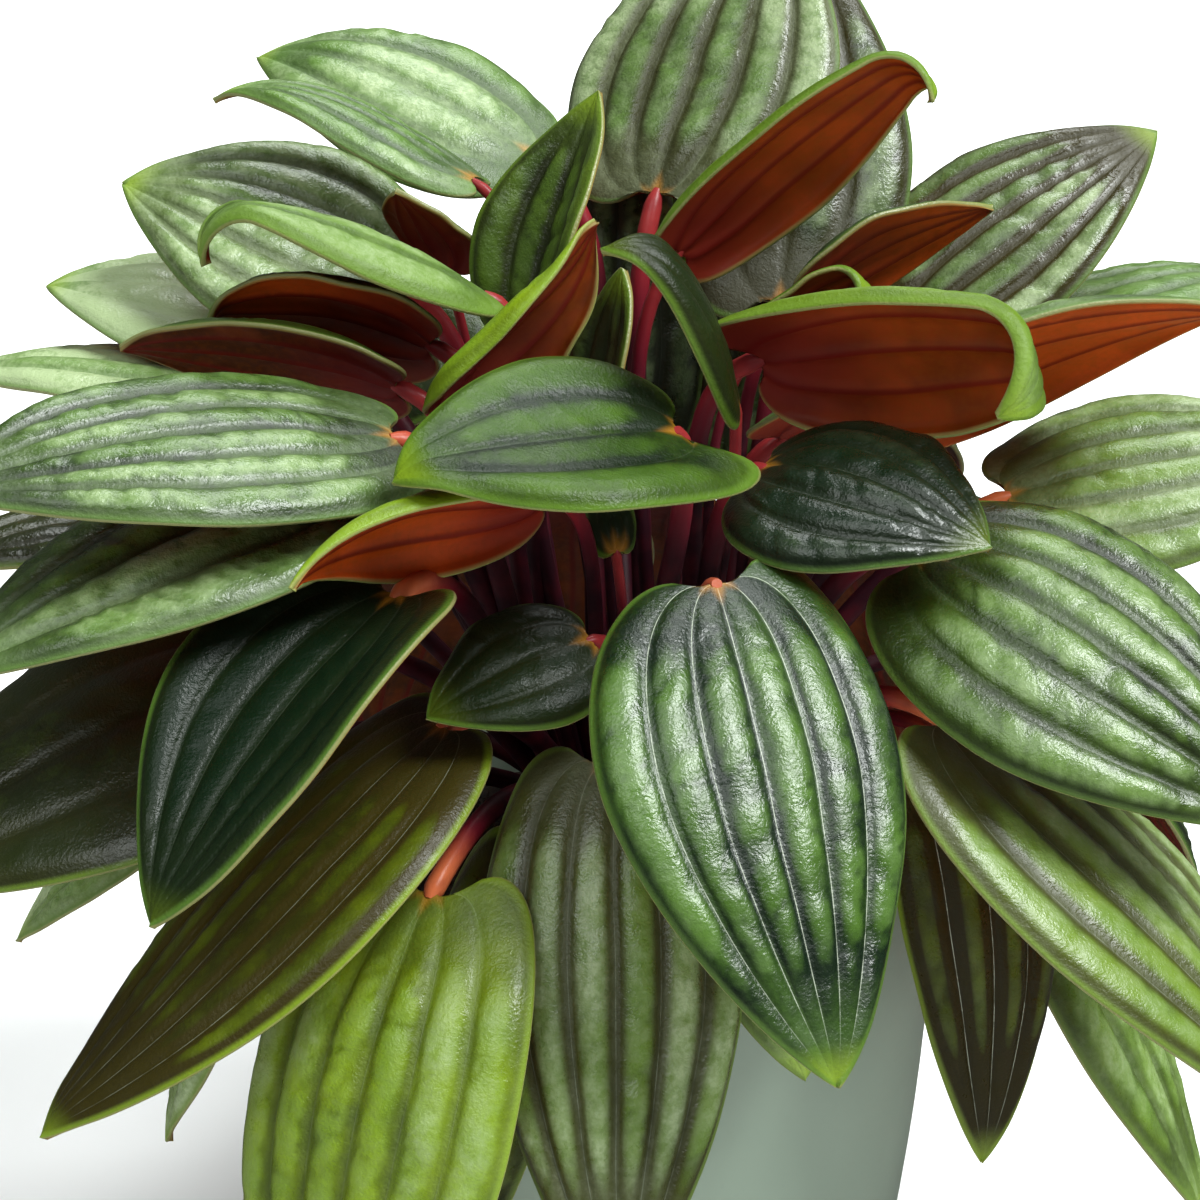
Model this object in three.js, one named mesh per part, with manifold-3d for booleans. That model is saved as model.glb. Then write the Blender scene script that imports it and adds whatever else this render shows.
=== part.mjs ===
// Ripple peperomia in a round-shouldered ceramic pot, in millimetres and degrees.
// Z is up, and the origin is the centre of the pot's flat underside.
//
// The pot, the soil plug in it, and the crown with its leaf stalks are one piece each. Every leaf
// blade is a piece of its own: a thick heart-shaped sheet, ribbed lengthwise, whose midrib follows
// a curve from the end of its stalk to its tip.

import * as THREE from 'three';
import { mergeVertices } from 'three/addons/utils/BufferGeometryUtils.js';
import Module from 'manifold-3d';

const wasm = await Module();
wasm.setup();

// ---- Driving dimensions ----------------------------------------------------------------------

const POT_HEIGHT = 90;
const POT_RADIUS = 50.5;        // outside, at the shoulder under the lip
const POT_FOOT_RADIUS = 43.5;   // outside, where the wall turns under
const POT_WALL = 4;
const POT_FLOOR = 6;
const POT_SIDES = 40;

const SOIL_LEVEL = 79;
const SOIL_MOUND = 3;           // how far the soil rises around the crown
const FIT_GAP = 0.4;            // clearance between pieces that rest on each other

const CROWN_RADIUS = 13;
const CROWN_TOP = 90;
const CROWN_ROOT = 62;          // lower end of the crown, down in the soil
const STALK_RADIUS = 1.6;       // of a full-sized leaf's stalk; small leaves have thinner ones
const STALK_SIDES = 4;
const STALK_STEPS = 4;

const BLADE_THICKNESS = 1.0;
const RIB_HEIGHT = 1.3;         // height of a ridge over the sunken veins beside it
const HEM_WIDTH = 4;            // width of the strip along each margin that bends down further
const HANDLE = 0.36;            // length of the midrib curve's handles, as a share of the chord

// One row for each blade: name, where the stalk joins it, its tip, its greatest width, and its
// bearing. lift and droop are how steeply the midrib leaves the straight line from base to tip and
// comes back to it, and hook is how long the curve holds the droop. roll turns the blade about
// that line, right side down. cup bends the margins down (or up, where negative) by that angle,
// and hem bends a strip along them further. beak is the share of the blade that is rolled down at
// the tip, and by what angle; the tip's place is where it would lie unrolled. sway moves the
// midrib's middle sideways. lobe is how far the left and right basal lobes reach back. ribs is the
// number of sunken veins. bow leads the stalk round a neighbour: it moves the middle of the stalk
// by that much in x and y. under is how much the stalk meets the blade from below.
const LEAVES = [
  // Blades that hang over the front of the rim.
  ['front_1', [10, -53, 148.5], [26, -96, 91], 46,
    { lift: 22, droop: 14, cup: 18, sway: 3, lobe: [0.1, 0.05], ribs: 5, under: 0.7 }],
  ['front_2', [-31, -62, 104], [-48, -90, 20], 47,
    { lift: 30, droop: 10, cup: 24, lobe: [0.1, 0.1], ribs: 5, bow: [-5, 0] }],
  ['front_3', [-5, -49, 119], [-4, -86, 48], 42, { lift: 26, droop: 8, cup: 38, ribs: 5 }],
  ['front_4', [-18, -51, 105.5], [-28, -67, 40], 26, { lift: 20, droop: 4, cup: 20 }],
  ['front_5', [16, -50, 104], [24, -62, 73], 24, { lift: 20, droop: 8, cup: 20 }],
  ['front_6', [-8, -40, 135], [-31, -52, 128], 24, { lift: 26, droop: 20, roll: -30, cup: 20 }],
  ['front_7', [-15, -32, 155], [-49, -70, 154], 24,
    { lift: 10, droop: 30, roll: 50, cup: 50, hem: 60 }],
  // Blades of the crown's inner rings.
  ['inner_1', [5, -36, 166], [-36, -57, 167], 34,
    { lift: 8, droop: 6, roll: -26, cup: -20, hem: 50, beak: [0.14, 60], lobe: [0.26, 0.08],
      bow: [-8, 2], under: 0.7 }],
  ['inner_2', [18, -28, 158], [50, -50, 153], 38,
    { lift: 28, droop: 18, roll: 20, cup: 22, lobe: [0.1, 0.08], ribs: 5 }],
  ['inner_3', [18, -13, 171], [70, -39, 179], 33,
    { lift: 10, droop: 8, roll: -60, cup: 34, hem: 80, beak: [0.34, 150], lobe: [0.06, 0.2] }],
  ['inner_4', [23, 8, 152], [93, -6, 177.5], 46, { lift: 10, droop: 14, roll: -33, cup: 20 }],
  ['inner_5', [6, 8, 183], [49, 2, 220], 25,
    { lift: 16, droop: 6, roll: -50, cup: 30, hem: 70, beak: [0.24, 125] }],
  ['inner_6', [-18, 2, 171], [-7, 10, 209], 28, { lift: 10, droop: 0, roll: 0, cup: -60 }],
  ['inner_7', [-31, -20, 165], [-8, -14, 193], 25,
    { lift: 12, droop: -30, hook: 0.3, roll: -50, cup: 55, hem: 70 }],
  ['inner_8', [14, -24, 167], [-6, -33, 192], 20, { lift: 34, droop: 84, roll: -24, cup: 40, hem: 50 }],
  ['inner_9', [-6, -4, 160], [-3, -2, 183], 16, { lift: 10, droop: 0, roll: 0, cup: -40 }],
  // Blades that stand behind the crown.
  ['back_1', [3, 35, 187], [24, 70, 230], 51, { lift: 8, droop: 20, cup: 14, ribs: 5 }],
  ['back_2', [24, 32, 169], [31, 75, 223], 42, { lift: 8, droop: 20, cup: 14 }],
  ['back_3', [40, 32, 164], [90, 50, 195], 41, { lift: 14, droop: 14, roll: 24, cup: 10, ribs: 5 }],
  ['back_4', [61, 30, 164], [110, 45, 170], 34, { lift: 16, droop: 16, cup: 20, bow: [0, 10] }],
  ['back_5', [26, 12, 175], [58, 22, 188], 22, { lift: 12, droop: 10, roll: -50, cup: 10 }],
  ['back_6', [20, 2, 170], [38, -4, 183], 15,
    { lift: 10, droop: 30, roll: -60, cup: 30, hem: 50, beak: [0.3, 150] }],
  ['back_7', [-18, 43, 192], [-67, 65, 205], 37,
    { lift: 14, droop: 30, roll: -24, cup: 20, lobe: [0.05, 0.05] }],
  ['back_8', [-27, 16, 193], [-70, 28, 204], 20,
    { lift: 12, droop: 40, roll: 0, cup: 30, bow: [-8, 4] }],
  ['back_9', [-39, 19, 175], [-86, 29, 190], 42,
    { lift: 14, droop: 20, roll: -34, cup: 10, lobe: [0.03, 0.07], ribs: 5 }],
  ['back_10', [-32, 19, 178], [-39, 9, 193], 18, { lift: 10, cup: -20 }],
  // Blades on the left.
  ['left_1', [-24, -5, 179], [-73, -15, 196], 32,
    { lift: 14, droop: 20, roll: 8, cup: 40, beak: [0.26, 120], bow: [-8, 10] }],
  ['left_2', [-33, -4, 171], [-70, -4, 176], 30,
    { lift: 14, droop: 20, roll: 45, cup: 10, beak: [0.14, 90] }],
  ['left_3', [-38, -10, 166], [-82, -5, 171], 30, { lift: 10, droop: 10, roll: 42, cup: 10 }],
  ['left_4', [-57, 25, 167], [-101, 35, 171], 36, { lift: 16, droop: 16, roll: -14, cup: 20 }],
  ['left_5', [-64, 13, 159], [-118, 23, 159], 27, { lift: 12, droop: 14, cup: 20 }],
  ['left_6', [-37, -32, 164], [-102, -60, 164], 40,
    { lift: 14, droop: 14, roll: -18, cup: 10, ribs: 5 }],
  ['left_7', [-41, -31, 157], [-100, -64, 138], 36,
    { lift: 14, droop: 14, roll: -14, cup: 10, lobe: [0.05, 0.08] }],
  ['left_8', [-52, -28, 128], [-119, -50, 98], 52, { lift: 14, droop: 14, roll: -20, cup: 10 }],
  ['left_9', [-36, -48, 145], [-68, -87, 111], 40,
    { lift: 10, droop: 6, cup: -50, sway: 2, ribs: 5, bow: [-6, 2] }],
  ['left_10', [-30, -42, 122], [-89, -75, 71], 41,
    { lift: 20, droop: 8, roll: -4, cup: 14, sway: -9, ribs: 5 }],
  ['left_11', [-73, 10, 92], [-108, 5, 62], 31, { lift: 20, droop: 8, cup: 14 }],
  ['left_12', [-55, -14, 92], [-80, -20, 37], 32, { lift: 20, droop: 8, cup: 14 }],
  ['left_13', [-69, -15, 146], [-110, -35, 144], 28, { lift: 12, droop: 12, cup: 10 }],
  // Blades on the right.
  ['right_1', [42, -35, 147], [95, -62, 114], 48, { lift: 24, droop: 20, roll: 30, cup: 24, ribs: 5 }],
  ['right_2', [60, 5, 143], [116, 10, 148], 42, { lift: 18, droop: 18, roll: 26, cup: 24, ribs: 5 }],
  ['right_3', [45, -44, 124], [101, -66, 63], 50,
    { lift: 10, droop: 20, roll: 4, cup: 20, sway: -1, ribs: 5 }],
  ['right_4', [46, -35, 115], [53, -52, 52], 28, { lift: 20, droop: 6, cup: 30, sway: -4 }],
  ['right_5', [59, -12, 97], [95, -27, 26], 40, { lift: 14, droop: 6, cup: 20 }],
  ['right_6', [-4, -14, 140], [-7, -9, 151], 10, { lift: 10, droop: 10, cup: 20 }],
  // Blades round the far side of the pot.
  ['rear_1', [37, 54, 145], [51, 98, 103], 40, { lift: 24, droop: 16, cup: 20, bow: [12, -4] }],
  ['rear_2', [-30, 42, 152], [-52, 86, 114], 42, { lift: 24, droop: 16, cup: 20 }],
  ['rear_3', [52, 38, 132], [96, 66, 96], 38, { lift: 22, droop: 14, cup: 20 }],
  ['rear_4', [-54, 36, 130], [-100, 58, 92], 38, { lift: 22, droop: 14, cup: 20 }],
  ['rear_5', [-11, 44, 132], [-12, 70, 82], 30, { lift: 24, droop: 10, cup: 20 }],
  ['rear_6', [-34, 49, 124], [-52, 76, 62], 34, { lift: 24, droop: 10, cup: 20 }],
  ['rear_7', [41, 46, 124], [58, 72, 58], 34, { lift: 24, droop: 10, cup: 20 }],
  ['rear_8', [64, 19, 110], [103, 31, 58], 30, { lift: 24, droop: 10, cup: 20 }],
  ['rear_9', [-3, 42, 138], [-4, 60, 198], 31, { lift: 8, droop: 14, cup: 14 }],
  ['rear_10', [16, 45, 130], [21, 60, 176], 26, { lift: 10, droop: 12, cup: 14 }],
  ['rear_11', [13, 55, 126], [17, 84, 82], 36, { lift: 26, droop: 10, cup: 20 }],
  ['rear_12', [-31, 36, 158], [-78, 60, 156], 36, { lift: 12, droop: 16, roll: -35, cup: 20 }],
];

// ---- Helpers ---------------------------------------------------------------------------------

const UP = new THREE.Vector3(0, 0, 1);
const radians = THREE.MathUtils.degToRad;

function material(color, roughness, metalness = 0) {
  return new THREE.MeshStandardMaterial({ color, roughness, metalness });
}

function meshOf(name, geometry, finish) {
  const mesh = new THREE.Mesh(geometry, finish);
  mesh.name = name;
  return mesh;
}

/** A BufferGeometry from a list of Vector3 and a list of corner-number triples. */
function geometryOf(points, faces) {
  const geometry = new THREE.BufferGeometry();
  const positions = points.flatMap((point) => point.toArray());
  geometry.setAttribute('position', new THREE.Float32BufferAttribute(positions, 3));
  geometry.setIndex(faces.flat());
  geometry.computeVertexNormals();
  return geometry;
}

/** A manifold solid from a closed BufferGeometry. */
function solidOf(geometry) {
  const bare = geometry.clone();
  bare.deleteAttribute('normal');
  bare.deleteAttribute('uv');
  const merged = mergeVertices(bare, 1e-4);
  return new wasm.Manifold(new wasm.Mesh({
    numProp: 3,
    vertProperties: new Float32Array(merged.attributes.position.array),
    triVerts: new Uint32Array(merged.index.array),
  }));
}

/** A BufferGeometry from a manifold solid. */
function geometryOfSolid(solid) {
  const { vertProperties, triVerts } = solid.getMesh();
  const geometry = new THREE.BufferGeometry();
  geometry.setAttribute('position', new THREE.Float32BufferAttribute(vertProperties, 3));
  geometry.setIndex([...triVerts]);
  geometry.computeVertexNormals();
  return geometry;
}

/** A solid of revolution about Z from a profile of [radius, height] pairs. */
function turned(profile, sides) {
  const points = profile.map(([radius, height]) => new THREE.Vector2(radius, height));
  return new THREE.LatheGeometry(points, sides).rotateX(Math.PI / 2);
}

// ---- Pot and soil ----------------------------------------------------------------------------

/** Outside radius of the pot at a height: a straight taper that swells a little in the middle. */
function potRadius(height) {
  const share = Math.min(height / (POT_HEIGHT - 8), 1);
  const swell = 1.6 * Math.sin(Math.PI * share);
  return THREE.MathUtils.lerp(POT_FOOT_RADIUS, POT_RADIUS, share) + swell;
}

function potGeometry() {
  const outside = [6, 22, 42, 62, 82].map((height) => [potRadius(height), height]);
  const inside = [82, 42, 12].map((height) => [potRadius(height) - POT_WALL, height]);
  return turned([
    [0, 0],
    [POT_FOOT_RADIUS - 3.5, 0],
    [POT_FOOT_RADIUS - 1.2, 1.2],
    ...outside,
    [POT_RADIUS - 0.1, POT_HEIGHT - 1.8],
    [POT_RADIUS - 1, POT_HEIGHT - 0.4],
    [POT_RADIUS - 2, POT_HEIGHT],
    [POT_RADIUS - 3, POT_HEIGHT - 0.4],
    [POT_RADIUS - 3.9, POT_HEIGHT - 1.8],
    ...inside,
    [POT_FOOT_RADIUS - POT_WALL - 2, POT_FLOOR + 1.5],
    [POT_FOOT_RADIUS - POT_WALL - 5, POT_FLOOR],
    [0, POT_FLOOR],
  ], POT_SIDES);
}

/** The soil plug, with a plain round pocket for the crown. */
function soilGeometry() {
  const reach = (height) => potRadius(height) - POT_WALL - FIT_GAP;
  const pocket = CROWN_RADIUS + FIT_GAP;
  return turned([
    [0, POT_FLOOR + FIT_GAP],
    [POT_FOOT_RADIUS - POT_WALL - 5.2, POT_FLOOR + FIT_GAP],
    [POT_FOOT_RADIUS - POT_WALL - 2.6, POT_FLOOR + FIT_GAP + 1.6],
    [reach(12) - 0.2, 12],
    [reach(42) - 0.3, 42],
    [reach(SOIL_LEVEL) - 0.3, SOIL_LEVEL],
    [30, SOIL_LEVEL + 0.4 * SOIL_MOUND],
    [pocket, SOIL_LEVEL + SOIL_MOUND],
    [pocket, CROWN_ROOT - FIT_GAP],
    [0, CROWN_ROOT - FIT_GAP],
  ], POT_SIDES / 2);
}

// ---- Blades ----------------------------------------------------------------------------------

/** Share of the greatest width at a share s of the way along the midrib. */
function widthShare(s) {
  const rise = 0.48;
  const fall = 0.88;
  const peak = rise / (rise + fall);
  const shape = (x) => Math.pow(x, rise) * Math.pow(1 - x, fall);
  return shape(s) / shape(peak);
}

/** How far back the round basal lobes reach at a share s of the midrib, as a share of their length. */
function lobeShare(s) {
  const bulge = 1 - ((widthShare(s) - 0.6) / 0.4) ** 2;
  return s < 0.35 ? Math.sqrt(Math.max(bulge, 0)) : 0;
}

/** Height of the ridges at s, as a share of RIB_HEIGHT: they start at the base and fade at the tip. */
function ribShare(s) {
  return Math.min(1, 5 * s, 4 * (1 - s));
}

/** The midrib's curve and the blade's own directions, worked out from one row of LEAVES. */
function frameOf([name, base, tip, width, bearing]) {
  const { lift = 0, droop = 0, hook = HANDLE, roll = 0, cup = 0, hem = 25, sway = 0 } = bearing;
  const { beak = [0.1, 15], lobe = [0.08, 0.08], ribs = 3, bow = [0, 0], under = 0 } = bearing;
  const start = new THREE.Vector3(...base);
  const end = new THREE.Vector3(...tip);
  const chord = end.clone().sub(start);
  const length = chord.length();
  const ahead = chord.clone().normalize();
  const level = new THREE.Vector3(chord.x, chord.y, 0).normalize();
  const right = level.clone().cross(UP).applyAxisAngle(ahead, radians(roll));
  const above = right.clone().cross(ahead);

  const lean = (angle) => ahead.clone().multiplyScalar(Math.cos(radians(angle)))
    .addScaledVector(above, Math.sin(radians(angle)));
  const leave = lean(lift);
  const arrive = lean(-droop);
  const midrib = new THREE.CubicBezierCurve3(
    start,
    start.clone().addScaledVector(leave, HANDLE * length).addScaledVector(right, sway),
    end.clone().addScaledVector(arrive, -hook * length).addScaledVector(right, sway),
    end,
  );
  return {
    name, start, leave, midrib, right, length, width, cup, hem, lobe, ribs, under,
    beak: { share: beak[0], bend: radians(beak[1]) },
    bow: new THREE.Vector3(...bow, 0),
  };
}

/** Point on a midrib and the heading and upward direction there, with the tip rolled down. */
function onMidrib(leaf, s) {
  const { share, bend } = leaf.beak;
  const straight = THREE.MathUtils.clamp(s, 0, 1 - share);
  const heading = leaf.midrib.getTangent(straight);
  const above = leaf.right.clone().cross(heading).normalize();
  const point = leaf.midrib.getPoint(straight).addScaledVector(heading, Math.min(s, 0) * leaf.length);
  const turn = (bend * Math.max(s - 1 + share, 0)) / share;
  const radius = (share * leaf.length) / bend;
  point.addScaledVector(heading, radius * Math.sin(turn));
  point.addScaledVector(above, -radius * (1 - Math.cos(turn)));
  const upward = above.clone().multiplyScalar(Math.cos(turn)).addScaledVector(heading, Math.sin(turn));
  return { point, above: upward };
}

/** Point on a blade's mid-surface and the upward normal there. t runs from -1 to 1 across. */
function onBlade(leaf, s, t, rib) {
  const back = (t < 0 ? leaf.lobe[0] : leaf.lobe[1]) * lobeShare(s) * t * t;
  const { point, above } = onMidrib(leaf, s - back);
  const reach = 0.5 * leaf.width * widthShare(s);
  const hemWidth = Math.min(HEM_WIDTH, 0.25 * reach);
  const across = reach * t;
  const flatPart = THREE.MathUtils.clamp(across, hemWidth - reach, reach - hemWidth);

  const curve = radians(leaf.cup || 0.01) / (0.5 * leaf.width);
  const angle = curve * flatPart;
  point.addScaledVector(leaf.right, Math.sin(angle) / curve);
  point.addScaledVector(above, (Math.cos(angle) - 1) / curve);
  const normal = above.clone().multiplyScalar(Math.cos(angle))
    .addScaledVector(leaf.right, Math.sin(angle));
  if (across !== flatPart) {
    const outward = leaf.right.clone().multiplyScalar(Math.cos(angle))
      .addScaledVector(above, -Math.sin(angle)).multiplyScalar(Math.sign(across));
    const hem = radians(leaf.hem) * THREE.MathUtils.smoothstep(s, 0, 0.12);
    const turn = (hem * Math.abs(across - flatPart)) / hemWidth;
    const radius = hemWidth / Math.max(hem, 0.001);
    point.addScaledVector(outward, radius * Math.sin(turn));
    point.addScaledVector(normal, -radius * (1 - Math.cos(turn)));
    normal.multiplyScalar(Math.cos(turn)).addScaledVector(outward, Math.sin(turn));
  }
  const ribHeight = RIB_HEIGHT * Math.min(leaf.width / 30, 1);
  point.addScaledVector(normal, rib * ribHeight * ribShare(s));
  return { point, normal };
}

/** A closed blade: the same net of corners above and below, joined round the margin. */
function bladeGeometry(leaf) {
  const columns = leaf.ribs === 5 ? 12 : 8;
  const rows = leaf.ribs === 5
    ? [0.04, 0.14, 0.29, 0.45, 0.61, 0.76, 0.89]
    : [0.05, 0.2, 0.42, 0.64, 0.84];
  if (leaf.beak.share > 0.2) rows.splice(-2, 2, 1 - leaf.beak.share, 1 - leaf.beak.share / 2);
  const points = [];
  const faces = [];
  const add = ({ point, normal }, offset) => {
    points.push(point.clone().addScaledVector(normal, offset));
    return points.length - 1;
  };
  const sheet = (offset) => {
    const net = rows.map((s) => Array.from({ length: columns + 1 }, (_, column) => {
      const t = (2 * column) / columns - 1;
      const rib = column % 2;
      return add(onBlade(leaf, s, t, rib), offset);
    }));
    return { base: add(onBlade(leaf, 0, 0, 0), offset), net, tip: add(onBlade(leaf, 1, 0, 0), offset) };
  };
  const upper = sheet(0.5 * BLADE_THICKNESS);
  const lower = sheet(-0.5 * BLADE_THICKNESS);

  const cover = ({ base, net, tip }, flip) => {
    const face = (a, b, c) => faces.push(flip ? [a, c, b] : [a, b, c]);
    const first = net[0];
    const last = net[net.length - 1];
    for (let column = 0; column < columns; column += 1) {
      face(base, first[column + 1], first[column]);
      face(tip, last[column], last[column + 1]);
      for (let row = 0; row + 1 < net.length; row += 1) {
        const [a, b] = [net[row][column], net[row][column + 1]];
        const [c, d] = [net[row + 1][column], net[row + 1][column + 1]];
        if (column % 2) {
          face(a, b, c);
          face(b, d, c);
        } else {
          face(a, b, d);
          face(a, d, c);
        }
      }
    }
  };
  cover(upper, false);
  cover(lower, true);

  const margin = ({ base, net, tip }, column) => [base, ...net.map((row) => row[column]), tip];
  const rim = (column, flip) => {
    const top = margin(upper, column);
    const bottom = margin(lower, column);
    for (let step = 0; step + 1 < top.length; step += 1) {
      const [a, b, c, d] = [top[step], top[step + 1], bottom[step], bottom[step + 1]];
      faces.push(flip ? [a, b, c] : [a, c, b], flip ? [b, d, c] : [b, c, d]);
    }
  };
  rim(0, true);
  rim(columns, false);
  return geometryOf(points, faces);
}

// ---- Crown and stalks ------------------------------------------------------------------------

/** One stalk: a tapering tube from inside the crown to just short of its blade. */
function stalkGeometry(leaf) {
  const reach = Math.hypot(leaf.start.x, leaf.start.y);
  const foot = new THREE.Vector3(leaf.start.x, leaf.start.y, 0).normalize()
    .multiplyScalar(Math.min(0.26 * reach, CROWN_RADIUS - 2.5));
  foot.z = CROWN_TOP - 4;
  const chord = leaf.start.clone().sub(foot);
  const span = chord.length();
  const arrive = leaf.leave.clone().multiplyScalar(1 - leaf.under)
    .addScaledVector(chord, leaf.under / span).normalize();
  const head = leaf.start.clone().addScaledVector(arrive, -0.5 - 0.7 * leaf.under);
  const outward = new THREE.Vector3(foot.x, foot.y, 0).multiplyScalar(0.05).add(UP).normalize();
  const girth = STALK_RADIUS * THREE.MathUtils.clamp(leaf.width / 34, 0.5, 1);
  const curve = new THREE.CubicBezierCurve3(
    foot,
    foot.clone().addScaledVector(outward, 0.5 * span).add(leaf.bow),
    head.clone().addScaledVector(arrive, -0.24 * span),
    head,
  );
  const points = [];
  const faces = [];
  for (let step = 0; step <= STALK_STEPS; step += 1) {
    const s = step / STALK_STEPS;
    const centre = curve.getPoint(s);
    const tangent = curve.getTangent(s);
    const side = leaf.right.clone().addScaledVector(tangent, -leaf.right.dot(tangent)).normalize();
    const across = tangent.clone().cross(side);
    const radius = s < 1 ? girth * (1.15 - 0.15 * s) : 0.5;
    for (let corner = 0; corner < STALK_SIDES; corner += 1) {
      const angle = (2 * Math.PI * corner) / STALK_SIDES;
      points.push(centre.clone().addScaledVector(side, radius * Math.cos(angle))
        .addScaledVector(across, radius * Math.sin(angle)));
    }
  }
  const ring = (step, corner) => step * STALK_SIDES + (corner % STALK_SIDES);
  for (let corner = 0; corner < STALK_SIDES; corner += 1) {
    for (let step = 0; step < STALK_STEPS; step += 1) {
      faces.push([ring(step, corner), ring(step, corner + 1), ring(step + 1, corner + 1)]);
      faces.push([ring(step, corner), ring(step + 1, corner + 1), ring(step + 1, corner)]);
    }
    if (corner > 0 && corner + 1 < STALK_SIDES) {
      faces.push([ring(0, 0), ring(0, corner + 1), ring(0, corner)]);
      faces.push([ring(STALK_STEPS, 0), ring(STALK_STEPS, corner), ring(STALK_STEPS, corner + 1)]);
    }
  }
  return geometryOf(points, faces);
}

function crownGeometry() {
  return turned([
    [0, CROWN_ROOT],
    [CROWN_RADIUS - 3, CROWN_ROOT],
    [CROWN_RADIUS, CROWN_ROOT + 4],
    [CROWN_RADIUS, CROWN_TOP - 3],
    [CROWN_RADIUS - 3, CROWN_TOP],
    [0, CROWN_TOP + 1],
  ], 12);
}

/** The crown and every stalk, fused into one body. */
function stemsGeometry(leaves) {
  const crown = solidOf(crownGeometry());
  const fused = leaves.reduce((body, leaf) => body.add(solidOf(stalkGeometry(leaf))), crown);
  return geometryOfSolid(fused);
}

// ---- The plant -------------------------------------------------------------------------------

const leaves = LEAVES.map(frameOf);

const plant = new THREE.Group();
plant.add(meshOf('pot', potGeometry(), material(0x93a69a, 0.5)));
plant.add(meshOf('soil', soilGeometry(), material(0x2b211a, 0.95)));
plant.add(meshOf('stems', stemsGeometry(leaves), material(0xb0452f, 0.4)));
for (const leaf of leaves) {
  plant.add(meshOf(`leaf_${leaf.name}`, bladeGeometry(leaf), material(0x2c4a22, 0.3)));
}

export default plant;
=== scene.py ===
"""The finished look of a ripple peperomia in a plain ceramic pot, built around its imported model."""

import math

import bpy
import numpy as np
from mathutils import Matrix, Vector


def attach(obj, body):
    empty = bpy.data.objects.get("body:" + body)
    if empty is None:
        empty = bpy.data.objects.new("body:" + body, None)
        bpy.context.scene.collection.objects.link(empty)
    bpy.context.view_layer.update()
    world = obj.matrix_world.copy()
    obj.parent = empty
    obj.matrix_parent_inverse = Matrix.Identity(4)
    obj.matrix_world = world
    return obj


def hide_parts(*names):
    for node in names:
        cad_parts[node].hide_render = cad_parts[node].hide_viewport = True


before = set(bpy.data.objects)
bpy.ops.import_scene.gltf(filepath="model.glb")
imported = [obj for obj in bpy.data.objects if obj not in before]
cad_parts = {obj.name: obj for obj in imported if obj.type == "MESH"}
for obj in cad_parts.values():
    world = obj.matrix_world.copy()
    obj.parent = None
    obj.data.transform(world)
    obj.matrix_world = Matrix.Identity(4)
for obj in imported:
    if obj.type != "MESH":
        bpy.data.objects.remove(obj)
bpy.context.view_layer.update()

# ---- Studio ----------------------------------------------------------------------------------
# The pot stands on a plain pale floor that runs far behind it. A broad soft lamp high on the right
# lights it, one behind draws the shine along the leaves' ridges, and a weak one fills the front.

CAMERA_PLACE = (-0.0065, -0.4229, 0.2809)
CAMERA_TILT = 70
CAMERA_SENSOR = 36
CAMERA_LENS = 82.35
FLOOR_SIZE = 40
# Each lamp's bearing from the front, its height and its spread in degrees, and its power.
LAMPS = {
    "window_right": (62, 55, 28, 6.0),
    "window_back": (165, 62, 30, 1.9),
    "window_left": (-25, 50, 36, 1.3),
}
LAMP_COLOUR = (0.96, 1.0, 0.99)
AIR_GLOW = 0.1

bpy.ops.object.camera_add(location=CAMERA_PLACE, rotation=(math.radians(CAMERA_TILT), 0, 0))
camera = bpy.context.object
camera.name = "studio_camera"
camera.data.sensor_width = CAMERA_SENSOR
camera.data.lens = CAMERA_LENS
bpy.context.scene.camera = camera
bpy.context.scene.view_settings.view_transform = "Standard"


def put(tree, socket, value):
    """Joins another node's output to the socket, or sets the socket to a plain value."""
    if isinstance(value, bpy.types.NodeSocket):
        tree.links.new(value, socket)
    else:
        socket.default_value = value


def node(tree, kind, inputs=None, **settings):
    """A new shader node with its settings made and its inputs filled."""
    made = tree.nodes.new(kind)
    for name, value in settings.items():
        setattr(made, name, value)
    for name, value in (inputs or {}).items():
        put(tree, made.inputs[name], value)
    return made


def blend(tree, share, a, b):
    """A colour on the way from a to b. The node has inputs for other kinds of value in between."""
    made = node(tree, "ShaderNodeMix", {0: share}, data_type="RGBA")
    put(tree, made.inputs[6], a)
    put(tree, made.inputs[7], b)
    return made.outputs[2]


def clouds(tree, where, scale, detail=2.0, roughness=0.5):
    """A cloudy pattern between 0 and 1, with about scale clouds to the metre."""
    inputs = {"Vector": where, "Scale": scale, "Detail": detail, "Roughness": roughness}
    return node(tree, "ShaderNodeTexNoise", inputs).outputs["Fac"]


def object_place(tree):
    """The place of a point on the piece, in metres."""
    return node(tree, "ShaderNodeTexCoord").outputs["Object"]


def rgb(red, green, blue):
    """An opaque colour."""
    return (red, green, blue, 1.0)


def new_finish(name):
    """A new material made of nodes, its node tree and the inputs of its main shader."""
    made = bpy.data.materials.new(name)
    made.use_nodes = True
    tree = made.node_tree
    tree.nodes.clear()
    shader = node(tree, "ShaderNodeBsdfPrincipled")
    node(tree, "ShaderNodeOutputMaterial", {"Surface": shader.outputs[0]})
    return made, tree, shader.inputs


def start_clean():
    """Nothing selected, so that the next primitive is worked on alone."""
    if bpy.context.object and bpy.context.object.mode != "OBJECT":
        bpy.ops.object.mode_set(mode="OBJECT")
    bpy.ops.object.select_all(action="DESELECT")


def take_up(piece):
    """The piece selected alone and active."""
    start_clean()
    piece.select_set(True)
    bpy.context.view_layer.objects.active = piece


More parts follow.
